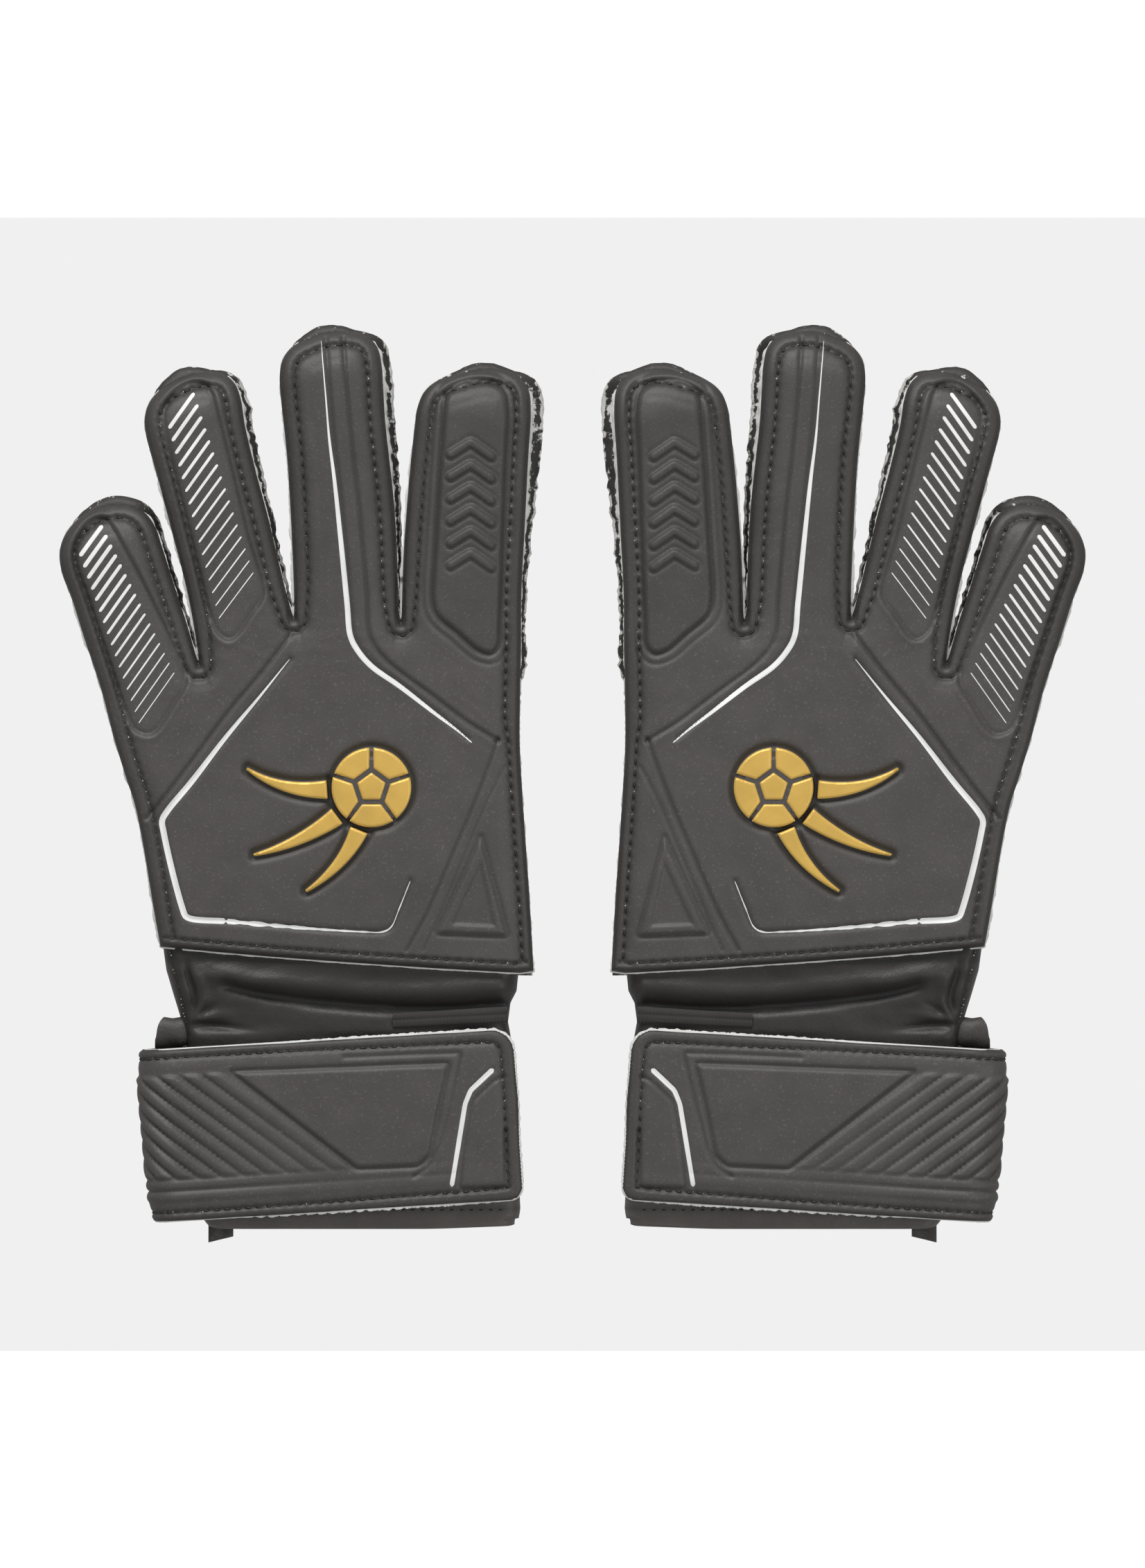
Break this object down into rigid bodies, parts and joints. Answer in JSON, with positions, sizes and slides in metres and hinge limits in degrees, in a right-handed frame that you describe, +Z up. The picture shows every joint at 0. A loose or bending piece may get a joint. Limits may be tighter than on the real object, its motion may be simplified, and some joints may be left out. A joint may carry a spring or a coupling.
{
  "type": "pair of goalkeeper gloves",
  "caption": "Pair of padded goalkeeper gloves lying palm down, with curling fingers, thumbs folded under, open cuffs and wide wrist straps that peel open.",
  "frame": {"origin": "on the floor under the middle of the pair", "axes": "+X from the left-hand glove to the right-hand glove, +Y to the fingertips, +Z up out of the backhands, which face up"},
  "size_m": [0.297, 0.2663, 0.0223],
  "materials": {
    "synthetic_leather": "satin",
    "palm_latex": "matte",
    "gusset_cloth": "matte",
    "lining_cloth": "matte",
    "cuff_cloth": "matte",
    "elastic_tape": "matte",
    "gold_film": "satin metallic",
    "hook_plastic": "matte",
    "loop_pile": "matte",
    "white_print": "satin",
    "foam_edge": "matte",
    "thread": "matte"
  },
  "bodies": {
    "left_hand": {"left_back_panel": "synthetic_leather", "left_palm_panel": "palm_latex", "left_hand_lining": "lining_cloth", "left_side_gussets": "gusset_cloth", "left_crest": "gold_film", "left_cuff_back": "synthetic_leather", "left_cuff_palm": "cuff_cloth", "left_cuff_sides": "gusset_cloth", "left_wrist_tape": "elastic_tape", "left_pull_tab": "elastic_tape", "left_loop_patch": "loop_pile", "left_strap_anchor": "synthetic_leather"},
    "left_index": {"left_index_back": "synthetic_leather", "left_index_palm": "palm_latex", "left_index_gusset": "gusset_cloth"},
    "left_middle": {"left_middle_back": "synthetic_leather", "left_middle_palm": "palm_latex", "left_middle_gusset": "gusset_cloth"},
    "left_ring": {"left_ring_back": "synthetic_leather", "left_ring_palm": "palm_latex", "left_ring_gusset": "gusset_cloth"},
    "left_little": {"left_little_back": "synthetic_leather", "left_little_palm": "palm_latex", "left_little_gusset": "gusset_cloth"},
    "left_thumb": {"left_thumb_back": "synthetic_leather", "left_thumb_palm": "palm_latex", "left_thumb_gusset": "gusset_cloth"},
    "left_strap": {"left_strap_flap": "synthetic_leather", "left_strap_lining": "lining_cloth", "left_hook_patch": "hook_plastic"},
    "right_hand": {"right_back_panel": "synthetic_leather", "right_palm_panel": "palm_latex", "right_hand_lining": "lining_cloth", "right_side_gussets": "gusset_cloth", "right_crest": "gold_film", "right_cuff_back": "synthetic_leather", "right_cuff_palm": "cuff_cloth", "right_cuff_sides": "gusset_cloth", "right_wrist_tape": "elastic_tape", "right_pull_tab": "elastic_tape", "right_loop_patch": "loop_pile", "right_strap_anchor": "synthetic_leather"},
    "right_index": {"right_index_back": "synthetic_leather", "right_index_palm": "palm_latex", "right_index_gusset": "gusset_cloth"},
    "right_middle": {"right_middle_back": "synthetic_leather", "right_middle_palm": "palm_latex", "right_middle_gusset": "gusset_cloth"},
    "right_ring": {"right_ring_back": "synthetic_leather", "right_ring_palm": "palm_latex", "right_ring_gusset": "gusset_cloth"},
    "right_little": {"right_little_back": "synthetic_leather", "right_little_palm": "palm_latex", "right_little_gusset": "gusset_cloth"},
    "right_thumb": {"right_thumb_back": "synthetic_leather", "right_thumb_palm": "palm_latex", "right_thumb_gusset": "gusset_cloth"},
    "right_strap": {"right_strap_flap": "synthetic_leather", "right_strap_lining": "lining_cloth", "right_hook_patch": "hook_plastic"}
  },
  "joints": [
    {"name": "left_index_curl", "type": "hinge", "parent": "left_hand", "child": "left_index", "pos_m": [-0.0322, 0.0468, 0], "axis": [-0.9977, 0.068, 0], "range_deg": [0, 70]},
    {"name": "left_middle_curl", "type": "hinge", "parent": "left_hand", "child": "left_middle", "pos_m": [-0.0652, 0.0482, 0], "axis": [-0.9973, -0.0732, 0], "range_deg": [0, 70]},
    {"name": "left_ring_curl", "type": "hinge", "parent": "left_hand", "child": "left_ring", "pos_m": [-0.0948, 0.0456, 0], "axis": [-0.9699, -0.2436, 0], "range_deg": [0, 70]},
    {"name": "left_little_curl", "type": "hinge", "parent": "left_hand", "child": "left_little", "pos_m": [-0.122, 0.0314, 0], "axis": [-0.9449, -0.3272, 0], "range_deg": [0, 70]},
    {"name": "left_thumb_unfold", "type": "hinge", "parent": "left_hand", "child": "left_thumb", "pos_m": [-0.017, -0.018, 0], "axis": [0, -1, 0], "range_deg": [0, 100]},
    {"name": "left_strap_peel", "type": "hinge", "parent": "left_hand", "child": "left_strap", "pos_m": [-0.1143, -0.1021, 0.0194], "axis": [0.0628, -0.998, 0], "range_deg": [0, 165]},
    {"name": "right_glove_apart", "type": "slide", "parent": "left_hand", "child": "right_hand", "axis": [1, 0, 0], "range_m": [0, 0.15]},
    {"name": "right_index_curl", "type": "hinge", "parent": "right_hand", "child": "right_index", "pos_m": [0.0322, 0.0468, 0], "axis": [-0.9977, -0.068, 0], "range_deg": [0, 70]},
    {"name": "right_middle_curl", "type": "hinge", "parent": "right_hand", "child": "right_middle", "pos_m": [0.0652, 0.0482, 0], "axis": [-0.9973, 0.0732, 0], "range_deg": [0, 70]},
    {"name": "right_ring_curl", "type": "hinge", "parent": "right_hand", "child": "right_ring", "pos_m": [0.0948, 0.0456, 0], "axis": [-0.9699, 0.2436, 0], "range_deg": [0, 70]},
    {"name": "right_little_curl", "type": "hinge", "parent": "right_hand", "child": "right_little", "pos_m": [0.122, 0.0314, 0], "axis": [-0.9449, 0.3272, 0], "range_deg": [0, 70]},
    {"name": "right_thumb_unfold", "type": "hinge", "parent": "right_hand", "child": "right_thumb", "pos_m": [0.017, -0.018, 0], "axis": [0, 1, 0], "range_deg": [0, 100]},
    {"name": "right_strap_peel", "type": "hinge", "parent": "right_hand", "child": "right_strap", "pos_m": [0.1143, -0.1021, 0.0194], "axis": [0.0628, 0.998, 0], "range_deg": [0, 165]}
  ]
}
